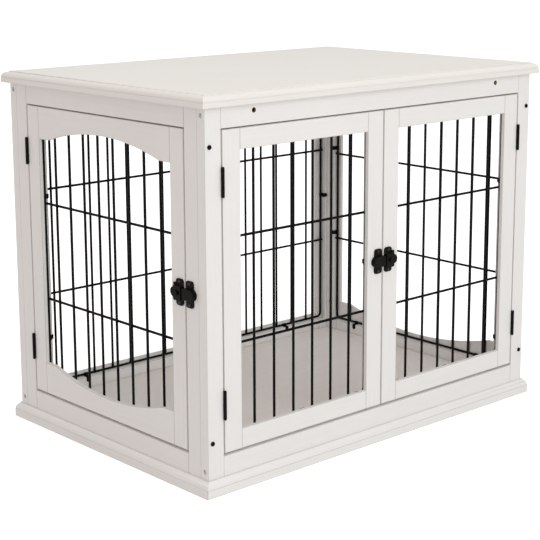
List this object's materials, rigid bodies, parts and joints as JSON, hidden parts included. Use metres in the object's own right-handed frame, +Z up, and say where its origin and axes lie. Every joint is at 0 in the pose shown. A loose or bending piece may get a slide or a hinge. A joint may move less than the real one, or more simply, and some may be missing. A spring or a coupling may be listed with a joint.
{
  "type": "dog crate end table",
  "caption": "End table that is a pet crate: wooden cabinet with a moulded top, wire-panelled front doors and side door, fixed wire panels behind and at the other side.",
  "frame": {"origin": "on the floor, under the middle of the table top", "axes": "+X to the right as seen from the front, +Y to the back, +Z up; the pair of doors faces -Y"},
  "size_m": [0.805, 0.557, 0.634],
  "materials": {
    "white_wood": "satin off-white paint",
    "painted_hidden_wood": "off-white paint, inside the cabinet",
    "black_wire": "satin black powder coat",
    "black_fittings": "black",
    "black_hinge": "satin black",
    "black_latch": "satin black",
    "plated_steel": "zinc plated"
  },
  "bodies": {
    "cabinet": {"back_bottom_rail": "white_wood", "back_left_post": "white_wood", "back_right_post": "white_wood", "back_top_rail": "white_wood", "back_wire_panel": "black_wire", "barrel_nuts": "plated_steel", "fixed_wire_clips": "black_fittings", "floor_cleats": "painted_hidden_wood", "floor_panel": "white_wood", "frame_screws": "plated_steel", "front_bottom_rail": "white_wood", "front_left_post": "white_wood", "front_right_post": "white_wood", "front_top_rail": "white_wood", "hinge_frame_leaves": "black_hinge", "hinge_pins": "black_hinge", "left_bottom_rail": "white_wood", "left_front_stile": "white_wood", "left_rear_stile": "white_wood", "left_top_rail": "white_wood", "plinth_back": "white_wood", "plinth_front": "white_wood", "plinth_left": "white_wood", "plinth_right": "white_wood", "post_bolts": "black_fittings", "right_bottom_rail": "white_wood", "right_front_stile": "white_wood", "right_rear_stile": "white_wood", "right_top_rail": "white_wood", "right_wire_panel": "black_wire", "side_latch_keeper": "black_latch", "table_top": "white_wood", "top_cleats": "painted_hidden_wood", "wood_screws": "plated_steel"},
    "front_latch_bolt": {"front_latch_bolt": "black_latch"},
    "left_door": {"left_door_bottom_rail": "white_wood", "left_door_fixings": "black_fittings", "left_door_hinge_leaves": "black_hinge", "left_door_hinge_stile": "white_wood", "left_door_latch_keeper": "black_latch", "left_door_meeting_stile": "white_wood", "left_door_top_rail": "white_wood", "left_door_wire_panel": "black_wire"},
    "right_door": {"right_door_bottom_rail": "white_wood", "right_door_fixings": "black_fittings", "right_door_hinge_leaves": "black_hinge", "right_door_hinge_stile": "white_wood", "right_door_latch_body": "black_latch", "right_door_meeting_stile": "white_wood", "right_door_top_rail": "white_wood", "right_door_wire_panel": "black_wire"},
    "side_door": {"side_door_bottom_rail": "white_wood", "side_door_fixings": "black_fittings", "side_door_hinge_leaves": "black_hinge", "side_door_hinge_stile": "white_wood", "side_door_latch_body": "black_latch", "side_door_latch_stile": "white_wood", "side_door_top_rail": "white_wood", "side_door_wire_panel": "black_wire"},
    "side_latch_bolt": {"side_latch_bolt": "black_latch"}
  },
  "joints": [
    {"name": "left_door_hinge", "type": "hinge", "parent": "cabinet", "child": "left_door", "pos_m": [-0.3572, -0.2694, 0.321], "axis": [0, 0, -1], "range_deg": [0, 170]},
    {"name": "right_door_hinge", "type": "hinge", "parent": "cabinet", "child": "right_door", "pos_m": [0.3572, -0.2694, 0.321], "axis": [0, 0, 1], "range_deg": [0, 170]},
    {"name": "side_door_hinge", "type": "hinge", "parent": "cabinet", "child": "side_door", "pos_m": [-0.3934, 0.2162, 0.321], "axis": [0, 0, -1], "range_deg": [0, 170]},
    {"name": "front_bolt_slide", "type": "slide", "parent": "right_door", "child": "front_latch_bolt", "axis": [-1, 0, 0], "range_m": [-0.003, 0.006]},
    {"name": "side_bolt_slide", "type": "slide", "parent": "side_door", "child": "side_latch_bolt", "axis": [0, -1, 0], "range_m": [-0.003, 0.006]}
  ]
}
